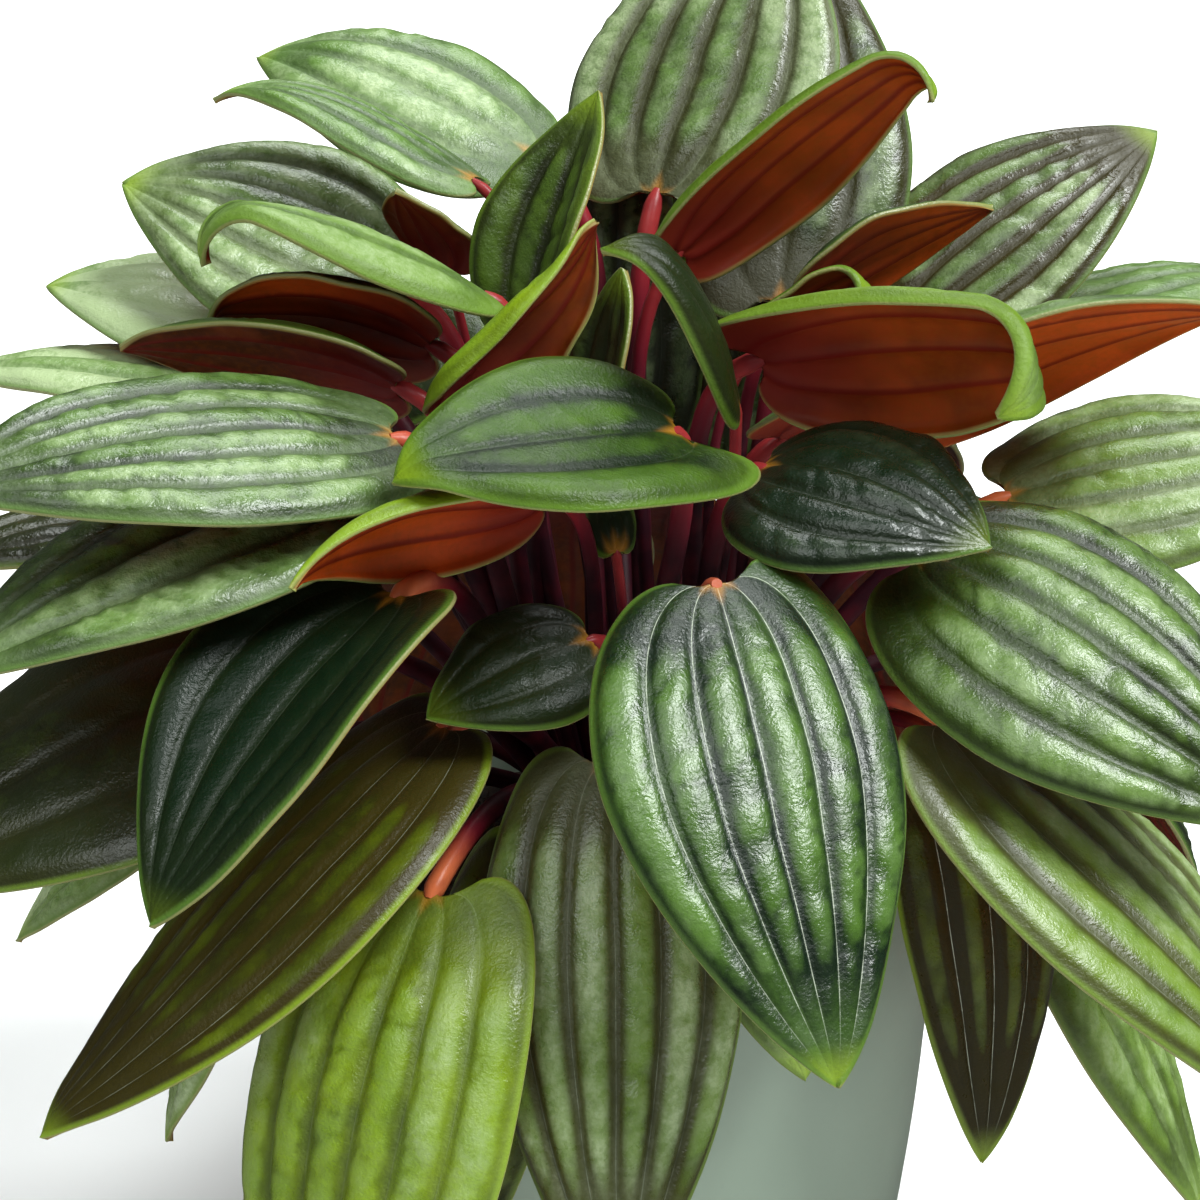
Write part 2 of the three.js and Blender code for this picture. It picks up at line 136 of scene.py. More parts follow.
start_clean()
bpy.ops.mesh.primitive_plane_add(size=FLOOR_SIZE, location=(0, 0, 0))
floor = bpy.context.object
floor.name = "studio_floor"
bpy.ops.object.transform_apply(location=True)
floor_paint, tree, paint = new_finish("floor_paint")
floor_cloud = clouds(tree, object_place(tree), 3.0)
floor_tint = blend(tree, floor_cloud, rgb(0.85, 0.85, 0.85), rgb(0.86, 0.86, 0.86))
put(tree, paint["Base Color"], floor_tint)
paint["Roughness"].default_value = 0.9
floor.data.materials.append(floor_paint)
floor.visible_glossy = False

for name, (bearing, height, spread, power) in LAMPS.items():
    bpy.ops.object.light_add(type="SUN")
    lamp = bpy.context.object
    lamp.name = name
    lamp.data.angle = math.radians(spread)
    lamp.data.energy = power
    lamp.data.color = LAMP_COLOUR
    turn, rise = math.radians(bearing), math.radians(height)
    level = math.cos(rise)
    source = Vector((math.sin(turn) * level, -math.cos(turn) * level, math.sin(rise)))
    lamp.rotation_euler = source.to_track_quat("Z", "Y").to_euler()

air = bpy.data.worlds.new("studio_air")
bpy.context.scene.world = air
air.use_nodes = True
air.node_tree.nodes["Background"].inputs["Color"].default_value = rgb(1.0, 1.0, 1.0)
air.node_tree.nodes["Background"].inputs["Strength"].default_value = AIR_GLOW

# ---- Pot -------------------------------------------------------------------------------------
# A slip-cast stoneware pot, a little swollen between foot and shoulder, with a rounded lip and a
# flat glazed foot. Its sage glaze is smooth and matt, with the faintest cloud and a few pin spots.

# Sizes here and below are in millimetres, and Blender's own are in metres.
MM = 0.001
POT_HEIGHT = 90
POT_RADIUS = 50.5
POT_FOOT_RADIUS = 43.5
POT_SHOULDER = POT_HEIGHT - 8
POT_SWELL = 1.6
POT_WALL = 4
POT_FLOOR = 6
POT_SIDES = 144
LIP_ROUND = 1.9
SAGE = rgb(0.205, 0.265, 0.205)
PALE_SAGE = rgb(0.235, 0.3, 0.232)
PIN_SPOT = rgb(0.2, 0.25, 0.21)


def calc(tree, operation, first, *others):
    """A number worked out from others, one after another.

    A plus sign after the operation keeps the outcome within 0 and 1.
    """
    for other in others or (0.0,):
        made = node(tree, "ShaderNodeMath", {0: first, 1: other}, operation=operation.rstrip("+"))
        first = made.outputs[0]
    made.use_clamp = operation.endswith("+")
    return first


def rising(tree, value, low, high, at_low=0.0, at_high=1.0):
    """A smooth change from at_low to at_high while value goes from low to high."""
    inputs = {"Value": value, "From Min": low, "From Max": high,
              "To Min": at_low, "To Max": at_high}
    made = node(tree, "ShaderNodeMapRange", inputs, interpolation_type="SMOOTHSTEP")
    return made.outputs["Result"]


def relief(tree, height, depth, under=None):
    """Fine relief from a height between 0 and 1, so deep in metres, laid over another if given."""
    inputs = {"Height": height, "Distance": depth}
    if under is not None:
        inputs["Normal"] = under
    return node(tree, "ShaderNodeBump", inputs).outputs["Normal"]


def pot_radius(height):
    """The pot's outside radius: a straight taper that swells a little in the middle."""
    share = min(height / POT_SHOULDER, 1)
    taper = POT_FOOT_RADIUS + (POT_RADIUS - POT_FOOT_RADIUS) * share
    return taper + POT_SWELL * math.sin(math.pi * share)


def raised(name, sides, profile):
    """A round body drawn up ring by ring from a disc. The profile is pairs of radius and height."""
    start_clean()
    radius, height = profile[0]
    bpy.ops.mesh.primitive_circle_add(vertices=sides, radius=radius * MM, fill_type="NGON",
                                      location=(0, 0, height * MM))
    piece = bpy.context.object
    piece.name = name
    bpy.ops.object.transform_apply(location=True)
    bpy.ops.object.mode_set(mode="EDIT")
    bpy.ops.mesh.select_mode(type="FACE")
    bpy.ops.mesh.select_all(action="SELECT")
    for next_radius, next_height in profile[1:]:
        rise = (0, 0, (next_height - height) * MM)
        growth = next_radius / radius
        centre = (0, 0, next_height * MM)
        bpy.ops.mesh.extrude_region_move(TRANSFORM_OT_translate={"value": rise})
        bpy.ops.transform.resize(value=(growth, growth, 1), center_override=centre)
        radius, height = next_radius, next_height
    bpy.ops.mesh.select_all(action="SELECT")
    bpy.ops.mesh.normals_make_consistent(inside=False)
    bpy.ops.object.mode_set(mode="OBJECT")
    return piece


foot_edge = [(POT_FOOT_RADIUS - 3.5, 0), (POT_FOOT_RADIUS - 2.2, 0.25),
             (POT_FOOT_RADIUS - 1.1, 1.0), (POT_FOOT_RADIUS - 0.2, 2.2)]
outer_wall = [(pot_radius(h), h) for h in (4, 8, 14, 22, 30, 38, 46, 54, 62, 70, 77, 82, 86)]
lip = [(POT_RADIUS - 2 + LIP_ROUND * math.cos(math.radians(turn)),
        POT_HEIGHT - LIP_ROUND + LIP_ROUND * math.sin(math.radians(turn)))
       for turn in range(10, 180, 20)]
inner_wall = [(pot_radius(h) - POT_WALL, h) for h in (84, 76, 66, 56, 46, 36, 26, 16, 12)]
hollow = [(POT_FOOT_RADIUS - POT_WALL - 2, POT_FLOOR + 1.5),
          (POT_FOOT_RADIUS - POT_WALL - 5, POT_FLOOR)]
pot = raised("ceramic_pot", POT_SIDES, foot_edge + outer_wall + lip + inner_wall + hollow)
take_up(pot)
bpy.ops.object.shade_smooth_by_angle(angle=math.radians(40))

sage_glaze, tree, glaze = new_finish("sage_glaze")
place = object_place(tree)
glaze_cloud = clouds(tree, place, 45.0, 4.0, 0.55)
pin_spots = rising(tree, clouds(tree, place, 900.0, 1.0), 0.7, 0.76, 0.0, 0.25)
glaze_tint = blend(tree, glaze_cloud, SAGE, PALE_SAGE)
put(tree, glaze["Base Color"], blend(tree, pin_spots, glaze_tint, PIN_SPOT))
put(tree, glaze["Roughness"], rising(tree, glaze_cloud, 0.3, 0.7, 0.42, 0.52))
put(tree, glaze["Normal"], relief(tree, clouds(tree, place, 420.0), 0.00003))
glaze["Coat Weight"].default_value = 0.12
glaze["Coat Roughness"].default_value = 0.35
pot.data.materials.append(sage_glaze)
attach(pot, "root")
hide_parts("pot")

# ---- Potting soil ----------------------------------------------------------------------------
# Dark, crumbly potting mix of peat and fine bark, filled to just under the lip and heaped a little
# round the crown. The plug is one body, and loose crumbs lie on it and belong to it.

SOIL_LEVEL = 79
SOIL_MOUND = 3
SOIL_SIDES = 120
SOIL_RINGS = 36
SOIL_RING_WIDTH = 1.18
WALL_GAP = 0.8
LEVEL_GAP = 0.7
CROWN_RADIUS = 13
CRUMBS = 900
FINE_CRUMBS = 0.93
DARK_PEAT = rgb(0.006, 0.004, 0.003)
LIGHT_PEAT = rgb(0.035, 0.021, 0.013)
BARK = rgb(0.06, 0.035, 0.02)


def wander(seed, u, v):
    """Smooth seeded ups and downs between -1 and 1 over a plane, about one to the unit."""
    size = 64
    lattice = np.random.default_rng(seed).uniform(-1, 1, (size, size))
    i, j = np.floor(u).astype(int), np.floor(v).astype(int)
    a, b = u - i, v - j
    a, b = a * a * (3 - 2 * a), b * b * (3 - 2 * b)
    i, j, next_i, next_j = i % size, j % size, (i + 1) % size, (j + 1) % size
    near = lattice[i, j] * (1 - a) + lattice[next_i, j] * a
    far = lattice[i, next_j] * (1 - a) + lattice[next_i, next_j] * a
    return near * (1 - b) + far * b


def corners_of(mesh):
    """The mesh's corners in millimetres."""
    flat = np.empty(3 * len(mesh.vertices))
    mesh.vertices.foreach_get("co", flat)
    return flat.reshape(-1, 3) / MM


def set_corners(mesh, corners):
    """Moves the mesh's corners to these places in millimetres."""
    mesh.vertices.foreach_set("co", (corners * MM).ravel())
    mesh.update()


def mound(out):
    """The soil's height above its level at the rim, at a distance from the middle."""
    return SOIL_MOUND * np.clip((soil_reach - out) / (soil_reach - CROWN_RADIUS), 0, 1) ** 0.7


soil_reach = pot_radius(SOIL_LEVEL) - POT_WALL - LEVEL_GAP
soil = raised("soil_plug", SOIL_SIDES, [
    (POT_FOOT_RADIUS - POT_WALL - 3, POT_FLOOR + 1.0),
    (pot_radius(12) - POT_WALL - WALL_GAP, 13),
    (pot_radius(42) - POT_WALL - WALL_GAP, 42),
    (soil_reach, SOIL_LEVEL),
])
for face in soil.data.polygons:
    face.select = face.normal.z > 0.9
take_up(soil)
bpy.ops.object.mode_set(mode="EDIT")
for ring in range(SOIL_RINGS):
    bpy.ops.mesh.inset(thickness=SOIL_RING_WIDTH * MM)
bpy.ops.mesh.poke()
bpy.ops.object.mode_set(mode="OBJECT")
corners = corners_of(soil.data)
x, y, z = corners.T
out = np.hypot(x, y)
crumble = 0.9 * wander(3, x / 4.5, y / 4.5) + 0.45 * wander(4, x / 1.7, y / 1.7)
heap = mound(out) + crumble * np.clip((soil_reach - out) / 2, 0, 1) - 0.3
corners[:, 2] += (z > SOIL_LEVEL - 0.1) * heap
set_corners(soil.data, corners)

start_clean()
bpy.ops.mesh.primitive_uv_sphere_add(segments=7, ring_count=5, radius=MM)
crumb = bpy.context.object
crumb.name = "crumb"
draw = np.random.default_rng(11)
crumb_corners = corners_of(crumb.data)
copies = []
for number in range(CRUMBS):
    out = soil_reach * 0.97 * math.sqrt(draw.uniform((CROWN_RADIUS / soil_reach) ** 2, 1))
    turn = draw.uniform(0, 2 * math.pi)
    size = draw.uniform(0.35, 1.0) + 1.1 * (draw.uniform() > FINE_CRUMBS)
    stretch = size * draw.uniform(0.55, 1.25, 3)
    lumps = 1 + 0.3 * wander(number, crumb_corners[:, 0] * 1.3 + 7, crumb_corners[:, 2] * 1.3)
    spin, _ = np.linalg.qr(draw.normal(size=(3, 3)))
    spin *= np.linalg.det(spin)
    level = SOIL_LEVEL + mound(out) + draw.uniform(-0.5, 0.4)
    place = [out * math.cos(turn), out * math.sin(turn), level]
    lump = bpy.data.objects.new("crumb", crumb.data.copy())
    bpy.context.scene.collection.objects.link(lump)
    set_corners(lump.data, crumb_corners * lumps[:, None] * stretch @ spin.T + place)
    copies.append(lump)
bpy.data.objects.remove(crumb)
take_up(soil)
for lump in copies:
    lump.select_set(True)
bpy.ops.object.join()
bpy.ops.object.shade_smooth_by_angle(angle=math.radians(50))

peat, tree, mix = new_finish("peat_and_bark")
place = object_place(tree)
grain = clouds(tree, place, 900.0, 4.0, 0.6)
fibre = rising(tree, clouds(tree, place, 160.0, 3.0), 0.55, 0.7, 0.0, 0.5)
earth = blend(tree, rising(tree, grain, 0.35, 0.7), DARK_PEAT, LIGHT_PEAT)
put(tree, mix["Base Color"], blend(tree, fibre, earth, BARK))
put(tree, mix["Normal"], relief(tree, grain, 0.0006))
mix["Roughness"].default_value = 0.92
soil.data.materials.append(peat)
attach(soil, "root")
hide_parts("soil")

# ---- Crown and leaf stalks -------------------------------------------------------------------
# A short knobbly crown stands in the soil and carries one fleshy round stalk for each leaf. They
# are one living body, crimson, painted near black low down as shade inside the crown, and paler,
# almost coral, where they meet a leaf.

CROWN_TOP = 90
CROWN_ROOT = 62
CROWN_KNOBS = 0.05
STALK_RADIUS = 1.6
STALK_TAPER = 0.15
STALK_KNOBS = 0.05
# A stalk roots so deep in the crown, at this share of its leaf's distance from the middle, but so
# far inside the crown's edge at least. Its end runs on into the blade.
ROOT_DEPTH = 4
ROOT_SHARE = 0.26
ROOT_INSET = 2.5
INTO_BLADE = 0.9
# The narrowest blade whose stalk has its full girth, and the share of a blade's length over which
# its curve keeps its first direction.
FULL_BLADE = 34
HANDLE = 0.36
PAINTED_SHADE_CRIMSON = rgb(0.020, 0.001, 0.005)
CRIMSON = rgb(0.20, 0.007, 0.018)
CORAL = rgb(0.50, 0.13, 0.045)
DULL_CRIMSON = rgb(0.09, 0.003, 0.008)
LOW_DARK_BROWN = rgb(0.03, 0.012, 0.006)


def unit(vector):
    """The vector, or each row of vectors, made one long."""
    return vector / np.linalg.norm(vector, axis=-1, keepdims=True)


def smooth(share):
    """Eases a share from 0 to 1 in and out."""
    share = np.clip(share, 0, 1)
    return share * share * (3 - 2 * share)


class Curve:
    """A smooth curve through space that starts and ends at the outer two of four points."""

    def __init__(self, *points):
        self.points = [np.array(point, float) for point in points]

    def at(self, s):
        """The points at shares s of the curve."""
        a, b, c, d = self.points
        s = np.asarray(s, float)[..., None]
        return (1 - s) ** 3 * a + 3 * s * (1 - s) ** 2 * b + 3 * s * s * (1 - s) * c + s ** 3 * d

    def heading(self, s):
        """The ways that the curve runs there."""
        a, b, c, d = self.points
        s = np.asarray(s, float)[..., None]
        return unit((1 - s) ** 2 * (b - a) + 2 * s * (1 - s) * (c - b) + s * s * (d - c))


class Leaf:
    """One leaf: where its stalk joins it, its tip, its greatest width and its bearing.

    Places and widths are in millimetres, and angles in degrees. lift and droop are how steeply the
    midrib leaves the straight line from base to tip and comes back to it, and hook is how long the
    curve holds the droop. roll turns the blade about that line, right side down. cup bends the
    margins down, and hem bends their last few millimetres further. beak is the share of the blade
    that is rolled down at the tip, and by how much. sway moves the midrib's middle sideways. lobe
    is how far the basal lobes reach back, to the left and to the right, as shares of the length,
    and ribs the number of sunken veins. bow leads the stalk round a neighbour, and under is how
    much it meets the blade from below.
    """

    def __init__(self, name, base, tip, width, lift=0, droop=0, roll=0, cup=0, hem=25,
                 beak=(0.1, 15), sway=0, hook=HANDLE, lobe=(0.08, 0.08), ribs=3,
                 bow=(0, 0), under=0):
        self.name, self.width, self.cup, self.hem = name, width, cup, hem
        self.beak, self.lobe, self.ribs = beak, lobe, ribs
        start, end = np.array(base, float), np.array(tip, float)
        self.length = np.linalg.norm(end - start)
        ahead = (end - start) / self.length
        level = unit(np.array([ahead[0], ahead[1], 0]))
        right = np.array([level[1], -level[0], 0])
        turn = math.radians(roll)
        self.right = right * math.cos(turn) + np.cross(ahead, right) * math.sin(turn)
        above = np.cross(self.right, ahead)
        up, down = math.radians(lift), math.radians(droop)
        leave = ahead * math.cos(up) + above * math.sin(up)
        arrive = ahead * math.cos(down) - above * math.sin(down)
        shift = self.right * sway
        self.straight_rib = Curve(start, start + leave * HANDLE * self.length + shift,
                                  end - arrive * hook * self.length + shift, end)

        distance = min(ROOT_SHARE * np.hypot(*start[:2]), CROWN_RADIUS - ROOT_INSET)
        away = unit(start[:2]) * distance
        root = np.array([*away, CROWN_TOP - ROOT_DEPTH])
        span = np.linalg.norm(start - root)
        arrive = unit(leave * (1 - under) + (start - root) / span * under)
        head = start + INTO_BLADE * arrive
        outward = unit(np.array([*away * 0.05, 1]))
        self.stalk = Curve(root, root + outward * 0.5 * span + [*bow, 0],
                           head - arrive * 0.24 * span, head)
        self.girth = STALK_RADIUS * min(max(width / FULL_BLADE, 0.5), 1)

    def midrib(self, s):
        """Points along the midrib, and its headings and upward directions there."""
        share, bend = self.beak[0], math.radians(self.beak[1])
        straight = np.clip(s, 0, 1 - share)
        heading = self.straight_rib.heading(straight)
        above = unit(np.cross(self.right, heading))
        before_base = np.minimum(s, 0) * self.length
        point = self.straight_rib.at(straight) + heading * before_base[:, None]
        turn = (bend * np.maximum(s - 1 + share, 0) / share)[:, None]
        radius = share * self.length / bend
        point += radius * (heading * np.sin(turn) - above * (1 - np.cos(turn)))
        turned_heading = heading * np.cos(turn) - above * np.sin(turn)
        turned_above = heading * np.sin(turn) + above * np.cos(turn)
        return point, turned_heading, turned_above


LEAVES = [
    # Blades that hang over the front of the rim.
    Leaf("front_1", (10, -53, 148.5), (26, -96, 91), 46, lift=22, droop=14, cup=18, sway=3,
         lobe=(0.1, 0.05), ribs=5, under=0.7),
    Leaf("front_2", (-31, -62, 104), (-48, -90, 20), 47, lift=30, droop=10, cup=24,
         lobe=(0.1, 0.1), ribs=5, bow=(-5, 0)),
    Leaf("front_3", (-5, -49, 119), (-4, -86, 48), 42, lift=26, droop=8, cup=38, ribs=5),
    Leaf("front_4", (-18, -51, 105.5), (-28, -67, 40), 26, lift=20, droop=4, cup=20),
    Leaf("front_5", (16, -50, 104), (24, -62, 73), 24, lift=20, droop=8, cup=20),
    Leaf("front_6", (-8, -40, 135), (-32, -52, 127.3), 24, lift=26, droop=20, roll=-30, cup=20),
    Leaf("front_7", (-15, -32, 155), (-49, -70, 154), 24, lift=10, droop=30, roll=50, cup=50,
         hem=60),
    # Blades of the crown's inner rings.
    Leaf("inner_1", (5, -36, 166), (-36, -57, 167), 34, lift=8, droop=6, roll=-26, cup=-20, hem=50,
         beak=(0.14, 60), lobe=(0.26, 0.08), bow=(-8, 2), under=0.7),
    Leaf("inner_2", (18, -28, 158), (50, -50, 153), 38, lift=28, droop=18, roll=20, cup=22,
         lobe=(0.1, 0.08), ribs=5),
    Leaf("inner_3", (18, -13, 171), (70, -39, 179), 33, lift=10, droop=8, roll=-60, cup=34, hem=80,
         beak=(0.34, 150), lobe=(0.06, 0.2)),
    Leaf("inner_4", (23, 8, 152), (93, -6, 177.5), 46, lift=10, droop=14, roll=-33, cup=20),
    Leaf("inner_5", (6, 8, 183), (49, 2, 220), 25, lift=16, droop=6, roll=-50, cup=30, hem=70,
         beak=(0.24, 125)),
    Leaf("inner_6", (-18, 2, 171), (-7, 10, 209), 28, lift=10, cup=-60),
    Leaf("inner_7", (-31, -20, 165), (-8, -14, 193), 25, lift=12, droop=-30, hook=0.3, roll=-50,
         cup=55, hem=70),
    Leaf("inner_8", (14, -24, 167), (-6, -33, 192), 20, lift=34, droop=84, roll=-24, cup=40,
         hem=50),
    Leaf("inner_9", (-6, -4, 160), (-3, -2, 183), 16, lift=10, cup=-40),
    # Blades that stand behind the crown.
    Leaf("back_1", (3, 35, 187), (24, 70, 230), 51, lift=8, droop=20, cup=14, ribs=5),
    Leaf("back_2", (24, 32, 169), (31, 75, 223), 42, lift=8, droop=20, cup=14),
    Leaf("back_3", (40, 32, 164), (90, 50, 195), 41, lift=14, droop=14, roll=24, cup=10, ribs=5),
    Leaf("back_4", (61, 30, 164), (110, 45, 170), 34, lift=16, droop=16, cup=20, bow=(0, 10)),
    Leaf("back_5", (26, 12, 175), (58, 22, 188), 22, lift=12, droop=10, roll=-50, cup=10),
    Leaf("back_6", (20, 2, 170), (38, -4, 183), 15, lift=10, droop=30, roll=-60, cup=30, hem=50,
         beak=(0.3, 150)),
    Leaf("back_7", (-18, 43, 192), (-67, 65, 205), 37, lift=14, droop=30, roll=-24, cup=20,
         lobe=(0.05, 0.05)),
    Leaf("back_8", (-27, 16, 193), (-70, 28, 204), 20, lift=12, droop=40, cup=30, bow=(-8, 4)),
    Leaf("back_9", (-39, 19, 175), (-86, 29, 190), 42, lift=14, droop=20, roll=-34, cup=10,
         lobe=(0.03, 0.07), ribs=5),
    Leaf("back_10", (-32, 19, 178), (-39, 9, 193), 18, lift=10, cup=-20),
    # Blades on the left.
    Leaf("left_1", (-24, -5, 179), (-73, -15, 196), 32, lift=14, droop=20, roll=8, cup=40,
         beak=(0.26, 120), bow=(-8, 10)),
    Leaf("left_2", (-33, -4, 171), (-70, -4, 176), 30, lift=14, droop=20, roll=45, cup=10,
         beak=(0.14, 90)),
    Leaf("left_3", (-38, -10, 166), (-82, -5, 171), 30, lift=10, droop=10, roll=42, cup=10),
    Leaf("left_4", (-57, 25, 167), (-101, 35, 171), 36, lift=16, droop=16, roll=-14, cup=20),
    Leaf("left_5", (-64, 13, 159), (-118, 23, 159), 27, lift=12, droop=14, cup=20),
    Leaf("left_6", (-37, -32, 164), (-102, -60, 164), 40, lift=14, droop=14, roll=-18, cup=10,
         ribs=5),
    Leaf("left_7", (-41, -31, 157), (-100, -64, 138), 36, lift=14, droop=14, roll=-14, cup=10,
         lobe=(0.05, 0.08)),
    Leaf("left_8", (-52, -28, 128), (-119, -50, 98), 52, lift=14, droop=14, roll=-20, cup=10),
    Leaf("left_9", (-36, -48, 145), (-68, -87, 111), 40, lift=10, droop=6, cup=-50, sway=2, ribs=5,
         bow=(-6, 2)),
    Leaf("left_10", (-30, -42, 122), (-89, -75, 71), 41, lift=20, droop=8, roll=-4, cup=14,
         sway=-9, ribs=5),
    Leaf("left_11", (-73, 10, 92), (-108, 5, 62), 31, lift=20, droop=8, cup=14),
    Leaf("left_12", (-55, -14, 92), (-80, -20, 37), 32, lift=20, droop=8, cup=14),
    Leaf("left_13", (-69, -15, 146), (-110, -35, 144), 28, lift=12, droop=12, cup=10),
    # Blades on the right.
    Leaf("right_1", (42, -35, 147), (95, -62, 114), 48, lift=24, droop=20, roll=30, cup=24, ribs=5),
    Leaf("right_2", (60, 5, 143), (116, 10, 148), 42, lift=18, droop=18, roll=26, cup=24, ribs=5),
    Leaf("right_3", (45, -44, 124), (101, -66, 63), 50, lift=10, droop=20, roll=4, cup=20, sway=-1,
         ribs=5),
    Leaf("right_4", (46, -35, 115), (53, -52, 52), 28, lift=20, droop=6, cup=30, sway=-4),
    Leaf("right_5", (59, -12, 97), (95, -27, 26), 40, lift=14, droop=6, cup=20),
    Leaf("right_6", (-4, -14, 140), (-7, -9, 151), 10, lift=10, droop=10, cup=20),
    # Blades round the far side of the pot.
    Leaf("rear_1", (37, 54, 145), (51, 98, 103), 40, lift=24, droop=16, cup=20, bow=(12, -4)),
    Leaf("rear_2", (-30, 42, 152), (-52, 86, 114), 42, lift=24, droop=16, cup=20),
    Leaf("rear_3", (52, 38, 132), (96, 66, 96), 38, lift=22, droop=14, cup=20),
    Leaf("rear_4", (-54, 36, 130), (-100, 58, 92), 38, lift=22, droop=14, cup=20),
    Leaf("rear_5", (-11, 44, 132), (-12, 70, 82), 30, lift=24, droop=10, cup=20),
    Leaf("rear_6", (-34, 49, 124), (-52, 76, 62), 34, lift=24, droop=10, cup=20),
    Leaf("rear_7", (41, 46, 124), (58, 72, 58), 34, lift=24, droop=10, cup=20),
    Leaf("rear_8", (64, 19, 110), (103, 31, 58), 30, lift=24, droop=10, cup=20),
    Leaf("rear_9", (-3, 42, 138), (-4, 60, 198), 31, lift=8, droop=14, cup=14),
    Leaf("rear_10", (16, 45, 130), (21, 60, 176), 26, lift=10, droop=12, cup=14),
    Leaf("rear_11", (13, 55, 126), (17, 84, 82), 36, lift=26, droop=10, cup=20),
    Leaf("rear_12", (-31, 36, 158), (-78, 60, 156), 36, lift=12, droop=16, roll=-35, cup=20),
]

knob = raised("crown", 28, [
    (CROWN_RADIUS - 3.4, CROWN_ROOT), (CROWN_RADIUS - 1.6, CROWN_ROOT + 1),
    (CROWN_RADIUS - 0.4, CROWN_ROOT + 4), (CROWN_RADIUS - 0.2, CROWN_ROOT + 12),
    (CROWN_RADIUS, CROWN_ROOT + 18), (CROWN_RADIUS, CROWN_TOP - 6),
    (CROWN_RADIUS - 0.6, CROWN_TOP - 3.5), (CROWN_RADIUS - 2.4, CROWN_TOP - 1),
    (CROWN_RADIUS - 6, CROWN_TOP + 0.5), (2, CROWN_TOP + 1),
])
corners = corners_of(knob.data)
bearing = np.arctan2(corners[:, 1], corners[:, 0])
round_and_up = 6 + 5 * np.cos(bearing) + corners[:, 2] / 4
knobs = 1 + CROWN_KNOBS * wander(21, round_and_up, 6 + 5 * np.sin(bearing))
corners[:, :2] *= knobs[:, None]
set_corners(knob.data, corners)

stalk_steps = [(1 + STALK_TAPER - STALK_TAPER * s, s) for s in np.linspace(0, 0.96, 19)]
stalk_blank = raised("stalk_blank", 12, stalk_steps + [(0.8, 0.98), (0.5, 1)])
blank_corners = corners_of(stalk_blank.data)
take_up(knob)
for leaf in LEAVES:
    stalk = bpy.data.objects.new("stalk", stalk_blank.data.copy())
    bpy.context.scene.collection.objects.link(stalk)
    s = blank_corners[:, 2]
    heading = leaf.stalk.heading(s)
    side = unit(leaf.right - heading * (heading @ leaf.right)[:, None])
    across = np.cross(heading, side)
    seed = len(leaf.name) + int(leaf.width)
    swell = leaf.girth * (1 + STALK_KNOBS * wander(seed, s * 7, np.full(len(s), float(leaf.width))))
    ring = side * blank_corners[:, :1] + across * blank_corners[:, 1:2]
    set_corners(stalk.data, leaf.stalk.at(s) + ring * swell[:, None])
    share = stalk.data.attributes.new("share_of_stalk", "FLOAT", "POINT")
    share.data.foreach_set("value", s)
    stalk.select_set(True)
bpy.data.objects.remove(stalk_blank)
bpy.ops.object.join()
stalks = bpy.context.object
stalks.name = "crown_and_stalks"
stalks.data.name = "crown_and_stalks"
bpy.ops.object.shade_smooth_by_angle(angle=math.radians(50))


def read(tree, name):
    """A number that is kept at each corner of the piece under this name."""
    return node(tree, "ShaderNodeAttribute", attribute_name=name).outputs["Fac"]


def tinted(tree, colour, *tints):
    """The colour with others laid over it in turn. Each comes with the share that it covers."""
    for share, tint in tints:
        colour = blend(tree, share, colour, tint)
    return colour


stalk_skin, tree, skin = new_finish("stalk_skin")
place = object_place(tree)
share = read(tree, "share_of_stalk")
apart = node(tree, "ShaderNodeSeparateXYZ", {0: place})
squares = [calc(tree, "POWER", apart.outputs[axis], 2.0) for axis in "XY"]
reach = calc(tree, "SQRT", calc(tree, "ADD", *squares))
coral = calc(tree, "MULTIPLY", rising(tree, share, 0.72, 0.94),
             rising(tree, reach, 0.04, 0.06, 0.12, 0.9))
blotch = rising(tree, clouds(tree, place, 220.0, 3.0), 0.4, 0.7, 0.0, 0.4)
# The stalks turn dark brown just above the soil.
near_soil = rising(tree, apart.outputs["Z"], 0.086, 0.096, 0.75, 0.0)
# Painted shade: the stalks are near black low down, where the crown's inside lies in shade, and turn
# crimson higher up.
flush = tinted(tree, PAINTED_SHADE_CRIMSON, (rising(tree, share, 0.58, 0.92), CRIMSON), (coral, CORAL),
               (blotch, DULL_CRIMSON), (near_soil, LOW_DARK_BROWN))
put(tree, skin["Base Color"], flush)
put(tree, skin["Normal"], relief(tree, clouds(tree, place, 1300.0, 2.0), 0.00004))
put(tree, skin["Roughness"], rising(tree, share, 0.5, 0.9, 0.6, 0.34))
skin["Specular IOR Level"].default_value = 0.18
stalks.data.materials.append(stalk_skin)
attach(stalks, "root")
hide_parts("stems")

# ---- Leaf blades -----------------------------------------------------------------------------
# Each blade is one thick heart-shaped sheet of leaf flesh: dark glossy green above, red-brown
# below. Its main veins are sunk into the upper side, and the ridges between them are puckered
# across by the side veins. The margin is a rounded, paler bead. A blade grows from its stalk.

BLADE_THICKNESS = 1.0
RIB_HEIGHT = 1.3
KEEL_HEIGHT = 0.55
KEEL_WIDTH = 0.9
BEAD = 0.8
HEM_WIDTH = 4.0
# The lobes end at this share of the midrib, and reach farthest back at this share of the width.
LOBE_END = 0.35
LOBE_MIDDLE = 0.6
# Columns and rows of faces on a blade with five veins and on one with three, and the columns on
# each side that round the bead.
BROAD_GRID = (54, 80)
SMALL_GRID = (42, 56)
BEAD_COLUMNS = 3
# Up to this share of full growth a blade has the young, downy skin.
YOUNG = 0.75

